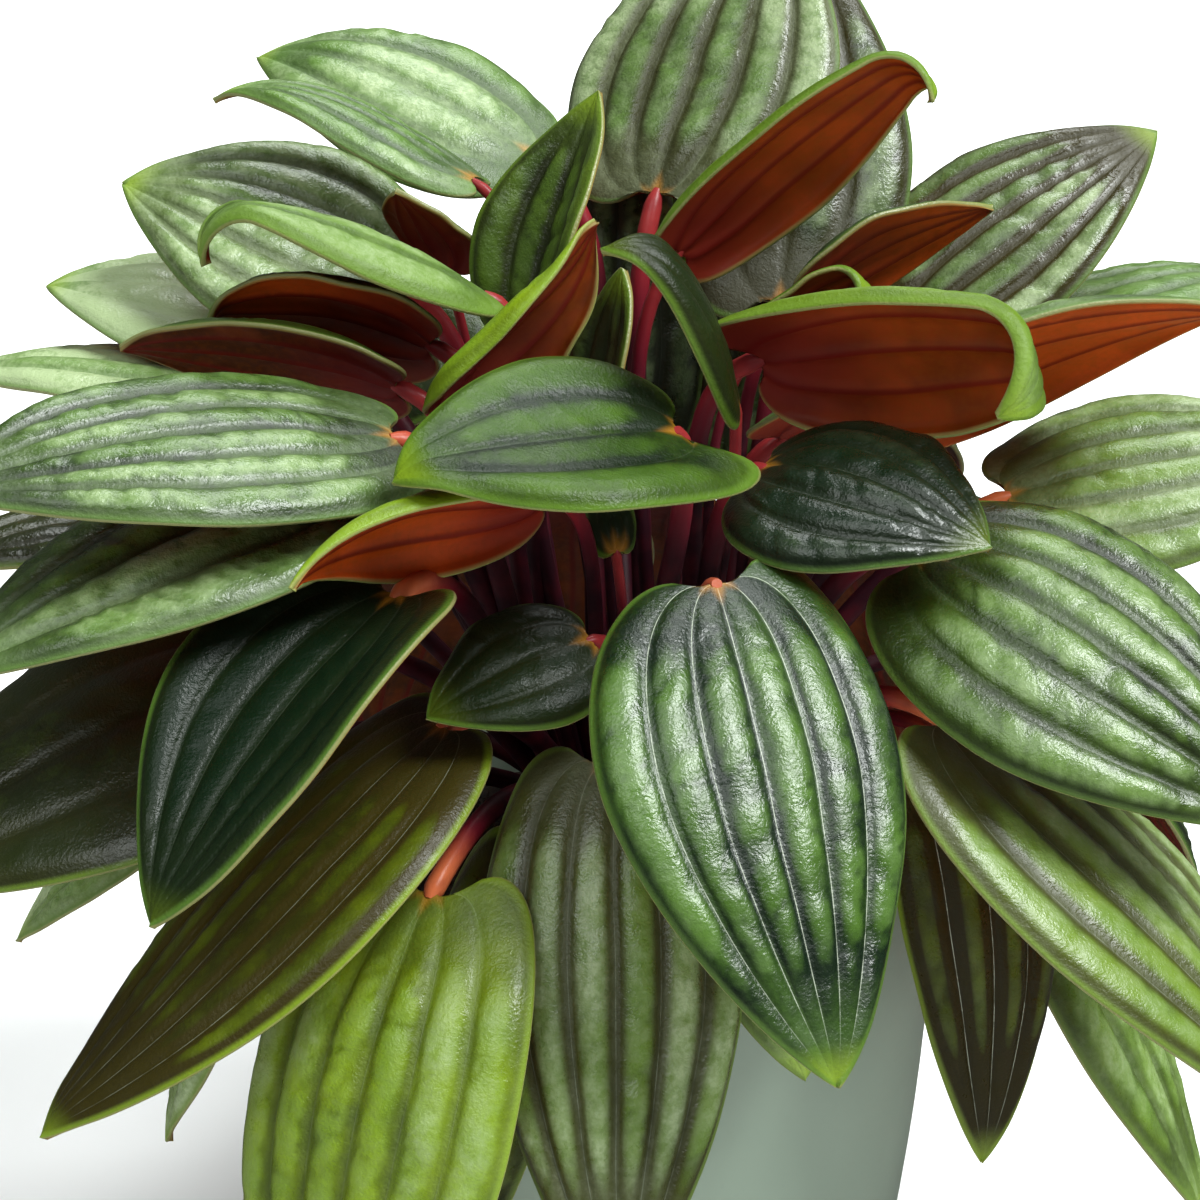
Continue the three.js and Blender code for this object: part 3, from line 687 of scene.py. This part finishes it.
DEEP_GREEN = rgb(0.002, 0.009, 0.003)
LIGHT_GREEN = rgb(0.052, 0.126, 0.010)
DEEP_OLIVE = rgb(0.030, 0.034, 0.001)
LIME = rgb(0.17, 0.25, 0.002)
SILVER_AND_SHEEN = rgb(0.29, 0.37, 0.19)
GROOVE_BROWN = rgb(0.026, 0.021, 0.003)
VEIN_WHITE = rgb(0.42, 0.46, 0.36)
BASE_AMBER = rgb(0.34, 0.14, 0.008)
TIP_LIME = rgb(0.20, 0.30, 0.01)
BEAD_GREEN = rgb(0.06, 0.125, 0.015)
BEAD_LIME = rgb(0.19, 0.28, 0.01)
EDGE_TAN = rgb(0.24, 0.21, 0.09)
DULL_RUST = rgb(0.050, 0.011, 0.001)
BRIGHT_RUST = rgb(0.42, 0.055, 0.004)
MOTTLED_RUST = rgb(0.16, 0.042, 0.002)
BASE_CRIMSON = rgb(0.11, 0.004, 0.006)
VEIN_CRIMSON = rgb(0.10, 0.003, 0.002)
EDGE_OLIVE = rgb(0.20, 0.17, 0.05)

# How each blade looks: how light its green is, partly its own tone and partly painted shade on
# blades that sit in shadow and painted light on brightly lit ones; how yellow; how silvery its
# ridges, partly their tint and partly painted sheen; how brown its grooves; how white its vein
# lines; how bright the red beneath, partly its own and partly painted light and shade; and how
# full-grown it is. Most numbers lie between 0 and 1. The blades in deepest painted shade go below
# that, and the strongest painted light, sheen and brown tints above it.
LOOK_NAMES = ("light", "lime", "silver", "brown", "white", "red", "grown")
LOOKS = {
    "front_1": (0.47, 0.04, 0.10, 0.00, 0.80, 0.50, 1.00),
    "front_2": (1.00, 0.75, 0.40, 0.20, 0.10, 0.50, 1.00),
    "front_3": (1.00, 0.28, 1.00, 0.75, 0.20, 0.50, 1.00),
    "front_4": (0.50, 0.50, 0.10, 0.30, 0.04, 0.40, 1.00),
    "front_5": (0.80, 0.30, 0.50, 0.20, 0.04, 0.40, 1.00),
    "front_6": (-0.12, 0.10, 0.00, 0.10, 0.00, 0.30, 0.64),
    "front_7": (0.80, 0.60, 0.10, 0.10, 0.04, 0.85, 0.50),
    "inner_1": (0.36, 0.12, 0.00, 0.00, 0.04, 0.50, 0.60),
    "inner_2": (0.04, 0.00, 0.03, 0.10, 0.06, 0.50, 1.00),
    "inner_3": (0.70, 0.30, 0.35, 0.00, 0.04, 0.35, 0.50),
    "inner_4": (0.70, 0.10, 0.60, 0.00, 0.04, 0.80, 0.80),
    "inner_5": (0.80, 0.20, 0.30, 0.10, 0.04, 0.50, 0.40),
    "inner_6": (0.50, 0.30, 0.15, 0.20, 0.04, 0.30, 0.80),
    "inner_7": (0.80, 0.60, 0.10, 0.10, 0.04, 0.20, 0.40),
    "inner_8": (-0.10, 0.20, 0.00, 0.10, 0.04, 0.30, 0.60),
    "inner_9": (0.15, 0.20, 0.05, 0.10, 0.04, 0.30, 0.80),
    "back_1": (0.72, 0.05, 1.20, 0.75, 0.10, 0.50, 1.00),
    "back_2": (0.22, 0.05, 0.50, 0.70, 0.04, 0.50, 1.00),
    "back_3": (0.60, 0.08, 1.15, 1.10, 0.04, 0.50, 1.00),
    "back_4": (0.90, 0.05, 0.90, 0.05, 0.04, 0.50, 0.80),
    "back_5": (0.40, 0.10, 0.10, 0.10, 0.04, 1.00, 0.80),
    "back_6": (0.60, 0.15, 0.10, 0.10, 0.04, 0.60, 0.50),
    "back_7": (0.80, 0.05, 0.80, 0.00, 0.04, 0.40, 0.80),
    "back_8": (0.80, 0.05, 0.70, 0.00, 0.04, 0.40, 0.80),
    "back_9": (0.80, 0.08, 0.90, 0.35, 0.04, 0.40, 1.00),
    "back_10": (0.20, 0.00, 0.05, 0.10, 0.04, 0.30, 0.80),
    "left_1": (0.80, 0.20, 0.50, 0.00, 0.04, 0.25, 0.60),
    "left_2": (0.50, 0.10, 0.20, 0.10, 0.04, 0.70, 0.80),
    "left_3": (0.50, 0.10, 0.20, 0.10, 0.04, 0.00, 0.80),
    "left_4": (1.20, 0.08, 1.60, 0.00, 0.04, 0.40, 0.80),
    "left_5": (1.20, 0.08, 1.40, 0.00, 0.04, 0.40, 0.80),
    "left_6": (0.56, 0.05, 0.55, 0.10, 0.04, 0.40, 1.00),
    "left_7": (0.70, 0.05, 0.70, 0.10, 0.04, 0.40, 1.00),
    "left_8": (0.10, 0.40, 0.00, 0.20, 0.04, 0.40, 0.80),
    "left_9": (-0.18, 0.00, 0.00, 0.10, 0.06, 0.40, 0.70),
    "left_10": (0.22, 0.75, 0.00, 1.70, 0.30, 0.40, 0.60),
    "left_11": (1.30, 0.20, 1.40, 0.10, 0.04, 0.40, 1.00),
    "left_12": (1.10, 0.45, 1.10, 0.10, 0.04, 0.40, 1.00),
    "left_13": (0.10, 0.40, 0.00, 0.30, 0.04, 0.40, 1.00),
    "right_1": (0.50, 0.12, 0.30, 0.15, 0.04, 0.50, 1.00),
    "right_2": (1.00, 0.25, 1.10, 0.40, 0.04, 0.50, 0.90),
    "right_3": (0.98, 0.42, 0.80, 0.70, 0.20, 0.50, 0.76),
    "right_4": (0.48, 0.75, 0.10, 2.60, 0.90, 0.50, 0.90),
    "right_5": (0.80, 0.30, 0.60, 0.10, 0.04, 0.60, 0.90),
    "right_6": (0.00, 0.10, 0.00, 0.10, 0.04, 0.30, 0.70),
}


def look_of(leaf, draw):
    """How a blade looks, by name. One round the far side of the pot gets its look at random."""
    numbers = LOOKS.get(leaf.name)
    if numbers is None:
        numbers = (draw.uniform(0.25, 0.5), draw.uniform(0, 0.2), draw.uniform(0.1, 0.45),
                   draw.uniform(0, 0.3), 0.06, draw.uniform(0, 0.12), 1.0)
    return dict(zip(LOOK_NAMES, numbers))


def width_share(s):
    """Share of a blade's greatest width at a share s of the way along its midrib."""
    rise, fall = 0.48, 0.88
    peak = rise / (rise + fall)
    return (s ** rise * (1 - s) ** fall) / (peak ** rise * (1 - peak) ** fall)


def lobe_share(s):
    """How far back the lobes reach at a share s of the midrib: each is round, like half a disc."""
    bulge = 1 - ((width_share(s) - LOBE_MIDDLE) / (1 - LOBE_MIDDLE)) ** 2
    return np.sqrt(np.clip(bulge, 0, 1)) * (s < LOBE_END)


def blade_blank(name, grid):
    """A flat slab to be bent to any leaf: an upper and a lower sheet joined round the margin."""
    columns, rows = grid
    start_clean()
    bpy.ops.mesh.primitive_grid_add(x_subdivisions=columns, y_subdivisions=rows, size=2)
    slab = bpy.context.object
    slab.name = name
    slab.data.materials.append(grown_top)
    slab.data.materials.append(leaf_back)
    flesh = slab.modifiers.new("flesh", "SOLIDIFY")
    flesh.thickness = 0.2
    flesh.offset = 0
    flesh.material_offset = 1
    flesh.material_offset_rim = 0
    bpy.ops.object.modifier_apply(modifier="flesh")
    slab.data.shade_smooth()
    return slab


def bend_blade(slab, leaf, seed):
    """A copy of the slab, bent, ribbed and puckered to this leaf.

    Each corner keeps the numbers that the blade's skin reads there.
    """
    draw = np.random.default_rng(seed)
    look = look_of(leaf, draw)
    columns, rows = BROAD_GRID if leaf.ribs == 5 else SMALL_GRID
    side_bands = (leaf.ribs + 1) // 2

    # Where a corner lies: at a share s of the midrib, x millimetres to the right of it, which is a
    # share t of the way to the margin. The outermost columns round the bead.
    flat = corners_of(slab.data) * MM
    column = np.rint((flat[:, 0] + 1) / 2 * columns).astype(int)
    u = np.rint((flat[:, 1] + 1) / 2 * rows) / rows
    s = 0.25 * u + 0.75 * (1 - np.cos(np.pi * u)) / 2
    reach = np.maximum(0.5 * leaf.width * width_share(s), 0.5 - 0.4 * s)
    bead = np.minimum(BEAD, 0.35 * reach)
    inner = np.clip((column - BEAD_COLUMNS) / (columns - 2 * BEAD_COLUMNS) * 2 - 1, -1, 1)
    outer = np.minimum(np.minimum(column, columns - column), BEAD_COLUMNS)
    beyond = np.choose(outer, [1.0, 0.85, 0.5, 0.0])
    flesh = np.choose(outer, [0.3, 0.72, 0.95, 1.0])
    x = inner * (reach - bead) + np.sign(inner) * bead * beyond
    t = x / reach
    margin_gap = reach - np.abs(x)
    along_mm = s * leaf.length

    # The ridges between the sunken veins, and the creases that run slantwise across them.
    bands = np.clip(np.floor((inner + 1) * side_bands), 0, 2 * side_bands - 1).astype(int)
    ridge = (np.abs(np.sin(np.pi * side_bands * inner)) ** 0.55 * np.clip(5 * s, 0, 1)
             * smooth((1 - s) / 0.35))
    slant = along_mm - 0.6 * np.abs(x) + draw.uniform(0, 60)
    crease = (wander(seed + 1, slant / 3.4, bands * 5.3 + 0.9 * inner * side_bands)
              + 0.25 * wander(seed + 7, slant / 1.5, x / 2))
    pucker = np.minimum(2.0 * np.abs(crease), 1.2) ** 0.7
    depth = 0.5 * np.clip(0.6 + 0.9 * wander(seed + 2, along_mm / 8, bands * 2.3 + 5), 0.15, 1.2)
    swell = 1 + 0.2 * wander(seed + 3, along_mm / 13, bands * 1.9)
    hill = (RIB_HEIGHT * min(leaf.width / 30, 1) * look["grown"] * ridge * swell
            * (1 - depth * (1 - pucker)))

    # The slow waves of the whole sheet, up and down and sideways.
    calm = smooth(s / 0.15)
    warp = 0.55 * wander(seed + 4, 2.6 * s + 1, 1.2 * t + 3) * calm
    warp += 0.5 * np.abs(t) ** 3 * wander(seed + 5, 5.5 * s, 3 * np.sign(t) + 7) * calm
    sideways = (0.4 * wander(seed + 6, along_mm / 10, 1.5 * inner + 3) * (1 - t * t) * calm
                * (1 - s))

    # The middle of the sheet: the midrib with the lobes drawn back, curled down to both sides, and
    # the hem turned farther down.
    lobe = np.where(t < 0, *leaf.lobe)
    back = lobe * lobe_share(s) * t * t
    middle, heading, above = leaf.midrib(s - back)
    curve = math.radians(leaf.cup or 0.01) / (0.5 * leaf.width)
    hem_width = np.minimum(HEM_WIDTH, 0.25 * reach)
    across = x + sideways
    flat_part = np.clip(across, hem_width - reach, reach - hem_width)
    angle = (curve * flat_part)[:, None]
    normal = above * np.cos(angle) + leaf.right * np.sin(angle)
    out = np.sign(across)[:, None] * (leaf.right * np.cos(angle) - above * np.sin(angle))
    middle += leaf.right * np.sin(angle) / curve + above * (np.cos(angle) - 1) / curve
    hem = math.radians(leaf.hem) * smooth(s / 0.12)
    turn = (hem * np.abs(across - flat_part) / hem_width)[:, None]
    radius = (hem_width / np.maximum(hem, 1e-3))[:, None]
    middle += radius * (out * np.sin(turn) - normal * (1 - np.cos(turn)))
    normal = normal * np.cos(turn) + out * np.sin(turn)

    # The flesh above and below that middle, with a keel under each vein.
    vein_at = np.arange(1 - side_bands, side_bands) / side_bands
    vein_gap = (np.abs(inner[:, None] - vein_at).min(axis=1)) * (reach - bead)
    keel = KEEL_HEIGHT * np.exp(-(vein_gap / KEEL_WIDTH) ** 2) * (1 - s) ** 0.7 * smooth(s / 0.05)
    top = hill + warp + 0.5 * BLADE_THICKNESS * flesh
    bottom = 0.75 * hill + warp - (0.5 * BLADE_THICKNESS + keel) * flesh
    lift = np.where(flat[:, 2] > 0, top, bottom)

    blade = bpy.data.objects.new("leaf_" + leaf.name, slab.data.copy())
    blade.data.name = blade.name
    bpy.context.scene.collection.objects.link(blade)
    set_corners(blade.data, middle + normal * lift[:, None])
    blade.data.materials[0] = grown_top if look["grown"] > YOUNG else young_top

    kept = {
        "streak": np.clip(0.5 + 0.9 * wander(seed + 8, along_mm / 22, bands * 4.1), 0, 1),
        "vein_gap": vein_gap,
        "margin_gap": margin_gap,
        "ridge": ridge,
        "pucker": pucker,
        "base_gap": np.hypot(x, along_mm),
        "tip_gap": leaf.length - along_mm,
    }
    for name, value in look.items():
        kept[name] = np.full(len(s), value)
    for name, values in kept.items():
        blade.data.attributes.new(name, "FLOAT", "POINT").data.foreach_set("value", values)
    return blade


def upper_skin(name, shine):
    """The green upper side. A full-grown blade shines more than a young, downy one."""
    made, tree, top = new_finish(name)
    place = object_place(tree)
    ridge, pucker, streak = read(tree, "ridge"), read(tree, "pucker"), read(tree, "streak")
    vein_gap, margin_gap = read(tree, "vein_gap"), read(tree, "margin_gap")
    base_gap, tip_gap = read(tree, "base_gap"), read(tree, "tip_gap")
    light, silver, grown = read(tree, "light"), read(tree, "silver"), read(tree, "grown")
    cloud = clouds(tree, place, 130.0, 3.0)
    mottle = clouds(tree, place, 1100.0, 3.0, 0.6)
    patch = clouds(tree, place, 330.0, 3.0, 0.6)

    # The crests of the puckered ridges are lighter than the grooves, partly by their own tone and
    # partly as painted shade in the grooves and creases. Towards the tip they fade.
    dip = calc(tree, "MULTIPLY", calc(tree, "SUBTRACT", 1.0, pucker),
               rising(tree, grown, 0.5, 0.9, 0.08, 0.35))
    crest = rising(tree, calc(tree, "MULTIPLY", ridge, calc(tree, "SUBTRACT", 1.0, dip)), 0.45, 1.0)
    crest = calc(tree, "MAXIMUM", crest, rising(tree, tip_gap, 3.0, 16.0, 0.6, 0.0))
    swing = rising(tree, light, 0.0, 0.8, 0.22, 0.66)

    # A young blade is paler towards its margin.
    youth = calc(tree, "SUBTRACT", 1.0, grown)
    pale = calc(tree, "MULTIPLY+", calc(tree, "MULTIPLY", youth, 1.5),
                rising(tree, margin_gap, 0.8, 5.0, 1.0, 0.0))

    lightness = calc(tree, "ADD+", calc(tree, "MULTIPLY", crest, swing), -0.37,
                     rising(tree, streak, 0.2, 0.8, -0.1, 0.1),
                     calc(tree, "MULTIPLY", pale, 0.4), light,
                     rising(tree, cloud, 0.3, 0.7, -0.08, 0.08),
                     rising(tree, mottle, 0.3, 0.7, -0.04, 0.04))
    lime = calc(tree, "MULTIPLY+", read(tree, "lime"), rising(tree, cloud, 0.3, 0.7, 0.7, 1.1))
    lime = calc(tree, "ADD+", lime, calc(tree, "MULTIPLY", pale, 0.15))
    green = blend(tree, lightness, DEEP_GREEN, LIGHT_GREEN)
    yellowed = blend(tree, lightness, DEEP_OLIVE, LIME)

    # What lies over the green: a silvery tint along the crests, partly painted sheen, brown in the
    # grooves, white vein lines, an amber spot where the stalk joins, the lime tip, the bead and its
    # tan edge.
    # Painted sheen: the pale silvery tint on the crests is partly the ridges' own colour and partly
    # the lamps' shine painted on.
    silver_and_sheen_cover = calc(tree, "MAXIMUM", crest, calc(tree, "SUBTRACT", silver, 0.3))
    silver_and_sheen_cover = calc(tree, "MULTIPLY+", silver, silver_and_sheen_cover, rising(tree, streak, 0.2, 0.8, 0.35, 1.25),
                 rising(tree, patch, 0.35, 0.65, 0.5, 1.0),
                 rising(tree, mottle, 0.35, 0.65, 0.65, 1.0))
    rust = calc(tree, "MULTIPLY+", read(tree, "brown"), rising(tree, ridge, 0.55, 1.0, 1.1, 0.2))
    line = calc(tree, "MULTIPLY+", rising(tree, vein_gap, 0.0, 0.1, 1.0, 0.0),
                rising(tree, tip_gap, 3.0, 14.0), rising(tree, patch, 0.3, 0.6, 0.25, 1.0),
                read(tree, "white"))
    spot = rising(tree, calc(tree, "ADD", calc(tree, "MULTIPLY", vein_gap, 1.6), base_gap),
                  0.8, 4.8, 0.65, 0.0)
    tip = calc(tree, "MULTIPLY", rising(tree, tip_gap, 0.5, 7.0, 1.0, 0.0),
               rising(tree, light, -0.1, 0.4, 0.15, 0.6))
    bead = rising(tree, margin_gap, 0.4, 1.3, 0.7, 0.0)
    bead_tint = blend(tree, read(tree, "lime"), BEAD_GREEN, BEAD_LIME)
    edge = rising(tree, margin_gap, 0.02, 0.25, 0.6, 0.0)
    green = tinted(tree, green, (lime, yellowed), (silver_and_sheen_cover, SILVER_AND_SHEEN), (rust, GROOVE_BROWN),
                   (line, VEIN_WHITE), (spot, BASE_AMBER), (tip, TIP_LIME), (bead, bead_tint),
                   (edge, EDGE_TAN))
    put(tree, top["Base Color"], green)

    matt = rising(tree, silver, 0.05, 0.6, 0.35, 0.54)
    polish = calc(tree, "ADD", calc(tree, "MULTIPLY", youth, 0.2), 0.28)
    gloss = blend(tree, rising(tree, ridge, 0.1, 0.7), matt, polish)
    patchy_gloss = calc(tree, "ADD", gloss, rising(tree, patch, 0.3, 0.7, -0.04, 0.08))
    put(tree, top["Roughness"], patchy_gloss)
    grain = relief(tree, clouds(tree, place, 3600.0, 2.0, 0.6), 0.00004)
    grain = relief(tree, clouds(tree, place, 1900.0, 2.0), 0.00011, grain)
    grain = relief(tree, clouds(tree, place, 700.0, 2.0), 0.0001, grain)
    put(tree, top["Normal"], grain)
    top["Specular IOR Level"].default_value = shine
    return made


grown_top = upper_skin("grown_leaf_upper_skin", 0.44)
young_top = upper_skin("young_leaf_upper_skin", 0.18)

leaf_back, tree, back = new_finish("leaf_under_skin")
place = object_place(tree)
vein_gap, margin_gap = read(tree, "vein_gap"), read(tree, "margin_gap")
cloud = clouds(tree, place, 110.0, 3.0)
mottle = clouds(tree, place, 900.0, 3.0, 0.6)
# A blade's red is brighter or duller partly by its own colour and partly as painted light shining
# through it or painted shade on it.
brightness = calc(tree, "ADD+", read(tree, "red"), rising(tree, cloud, 0.3, 0.7, -0.14, 0.14))
flush = tinted(
    tree, DULL_RUST,
    (brightness, BRIGHT_RUST),
    (rising(tree, mottle, 0.4, 0.7, 0.0, 0.3), MOTTLED_RUST),
    (rising(tree, read(tree, "base_gap"), 4.0, 26.0, 0.75, 0.0), BASE_CRIMSON),
    (rising(tree, vein_gap, 0.15, 0.9, 0.75, 0.0), VEIN_CRIMSON),
    (rising(tree, margin_gap, 0.0, 0.7, 0.75, 0.0), EDGE_OLIVE),
)
put(tree, back["Base Color"], flush)
put(tree, back["Roughness"], rising(tree, cloud, 0.3, 0.7, 0.46, 0.58))
grain = relief(tree, clouds(tree, place, 2600.0, 2.0, 0.6), 0.00002)
grain = relief(tree, clouds(tree, place, 600.0, 2.0), 0.00006, grain)
put(tree, back["Normal"], grain)
back["Specular IOR Level"].default_value = 0.12

broad_blank = blade_blank("broad_blade_blank", BROAD_GRID)
small_blank = blade_blank("small_blade_blank", SMALL_GRID)
for number, leaf in enumerate(LEAVES):
    blade = bend_blade(broad_blank if leaf.ribs == 5 else small_blank, leaf, 100 + 20 * number)
    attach(blade, "root")
    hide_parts("leaf_" + leaf.name)
bpy.data.objects.remove(broad_blank)
bpy.data.objects.remove(small_blank)
